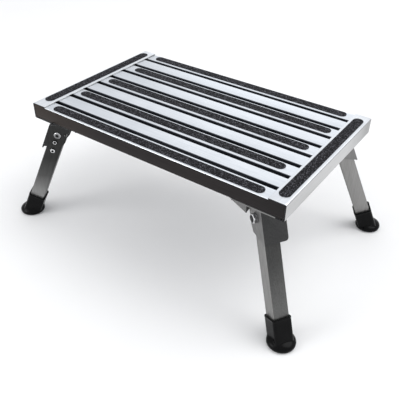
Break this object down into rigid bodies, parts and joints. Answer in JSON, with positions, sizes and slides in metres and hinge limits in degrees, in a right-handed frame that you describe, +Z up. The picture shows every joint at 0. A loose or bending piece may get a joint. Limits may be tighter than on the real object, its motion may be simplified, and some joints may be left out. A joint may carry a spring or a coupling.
{
  "type": "folding platform step",
  "caption": "Folding aluminium platform step: slatted deck with grit tapes, on four splayed square-tube legs with rubber boots that fold in under the deck and lock with spring buttons.",
  "frame": {"origin": "on the ground, under the middle of the deck, at the centre of the bounding box's base", "axes": "+X along the deck's long side to the right, +Y from the front rail to the back rail, +Z up"},
  "size_m": [0.5868, 0.381, 0.227],
  "materials": {
    "tread_aluminium": "bright brushed top",
    "rail_aluminium": "bright brushed",
    "grit_tape": "coarse mineral grit on black tape",
    "bracket_steel": "satin bent sheet",
    "leg_aluminium": "satin grey square tube",
    "boot_rubber": "smooth semi-gloss moulded rubber",
    "bright_fastener": "polished",
    "spring_steel": "blued spring strip",
    "bush_steel": "turned"
  },
  "bodies": {
    "deck": {"left_end_rail": "rail_aluminium", "right_end_rail": "rail_aluminium", "front_rail": "tread_aluminium", "back_rail": "tread_aluminium", "slat_1": "tread_aluminium", "slat_2": "tread_aluminium", "slat_3": "tread_aluminium", "slat_4": "tread_aluminium", "slat_5": "tread_aluminium", "slat_6": "tread_aluminium", "slat_7": "tread_aluminium", "front_rail_tape": "grit_tape", "slat_2_tape": "grit_tape", "slat_4_tape": "grit_tape", "slat_6_tape": "grit_tape", "back_rail_tape": "grit_tape", "left_end_tape": "grit_tape", "right_end_tape": "grit_tape", "left_cross_brace": "rail_aluminium", "right_cross_brace": "rail_aluminium", "front_right_bracket": "bracket_steel", "front_right_pivot_bolt": "bright_fastener", "front_right_pivot_nut": "bright_fastener", "front_right_pivot_bush": "bush_steel", "back_right_bracket": "bracket_steel", "back_right_pivot_bolt": "bright_fastener", "back_right_pivot_nut": "bright_fastener", "back_right_pivot_bush": "bush_steel", "back_left_bracket": "bracket_steel", "back_left_pivot_bolt": "bright_fastener", "back_left_pivot_nut": "bright_fastener", "back_left_pivot_bush": "bush_steel", "front_left_bracket": "bracket_steel", "front_left_pivot_bolt": "bright_fastener", "front_left_pivot_nut": "bright_fastener", "front_left_pivot_bush": "bush_steel"},
    "front_right_leg_body": {"front_right_leg": "leg_aluminium", "front_right_boot": "boot_rubber", "front_right_button_spring": "spring_steel", "front_right_spring_rivet": "bright_fastener"},
    "front_right_button_body": {"front_right_lock_button": "bright_fastener"},
    "back_right_leg_body": {"back_right_leg": "leg_aluminium", "back_right_boot": "boot_rubber", "back_right_button_spring": "spring_steel", "back_right_spring_rivet": "bright_fastener"},
    "back_right_button_body": {"back_right_lock_button": "bright_fastener"},
    "back_left_leg_body": {"back_left_leg": "leg_aluminium", "back_left_boot": "boot_rubber", "back_left_button_spring": "spring_steel", "back_left_spring_rivet": "bright_fastener"},
    "back_left_button_body": {"back_left_lock_button": "bright_fastener"},
    "front_left_leg_body": {"front_left_leg": "leg_aluminium", "front_left_boot": "boot_rubber", "front_left_button_spring": "spring_steel", "front_left_spring_rivet": "bright_fastener"},
    "front_left_button_body": {"front_left_lock_button": "bright_fastener"}
  },
  "joints": [
    {"name": "front_right_leg_fold", "type": "hinge", "parent": "deck", "child": "front_right_leg_body", "pos_m": [0.203, -0.1265, 0.18], "axis": [0.5225, 0.8526, 0], "range_deg": [0, 112], "deforming": ["front_right_button_spring", "front_right_lock_button"]},
    {"name": "front_right_button_press", "type": "slide", "parent": "front_right_leg_body", "child": "front_right_button_body", "axis": [-0.5225, -0.8526, 0], "range_m": [0, 0.0046], "stiffness_N_per_m": 1200},
    {"name": "back_right_leg_fold", "type": "hinge", "parent": "deck", "child": "back_right_leg_body", "pos_m": [0.203, 0.1265, 0.18], "axis": [-0.5225, 0.8526, 0], "range_deg": [0, 112], "deforming": ["back_right_button_spring", "back_right_lock_button"]},
    {"name": "back_right_button_press", "type": "slide", "parent": "back_right_leg_body", "child": "back_right_button_body", "axis": [0.5225, -0.8526, 0], "range_m": [0, 0.0046], "stiffness_N_per_m": 1200},
    {"name": "back_left_leg_fold", "type": "hinge", "parent": "deck", "child": "back_left_leg_body", "pos_m": [-0.203, 0.1265, 0.18], "axis": [-0.5225, -0.8526, 0], "range_deg": [0, 112], "deforming": ["back_left_button_spring", "back_left_lock_button"]},
    {"name": "back_left_button_press", "type": "slide", "parent": "back_left_leg_body", "child": "back_left_button_body", "axis": [0.5225, 0.8526, 0], "range_m": [0, 0.0046], "stiffness_N_per_m": 1200},
    {"name": "front_left_leg_fold", "type": "hinge", "parent": "deck", "child": "front_left_leg_body", "pos_m": [-0.203, -0.1265, 0.18], "axis": [0.5225, -0.8526, 0], "range_deg": [0, 112], "deforming": ["front_left_button_spring", "front_left_lock_button"]},
    {"name": "front_left_button_press", "type": "slide", "parent": "front_left_leg_body", "child": "front_left_button_body", "axis": [-0.5225, 0.8526, 0], "range_m": [0, 0.0046], "stiffness_N_per_m": 1200}
  ]
}
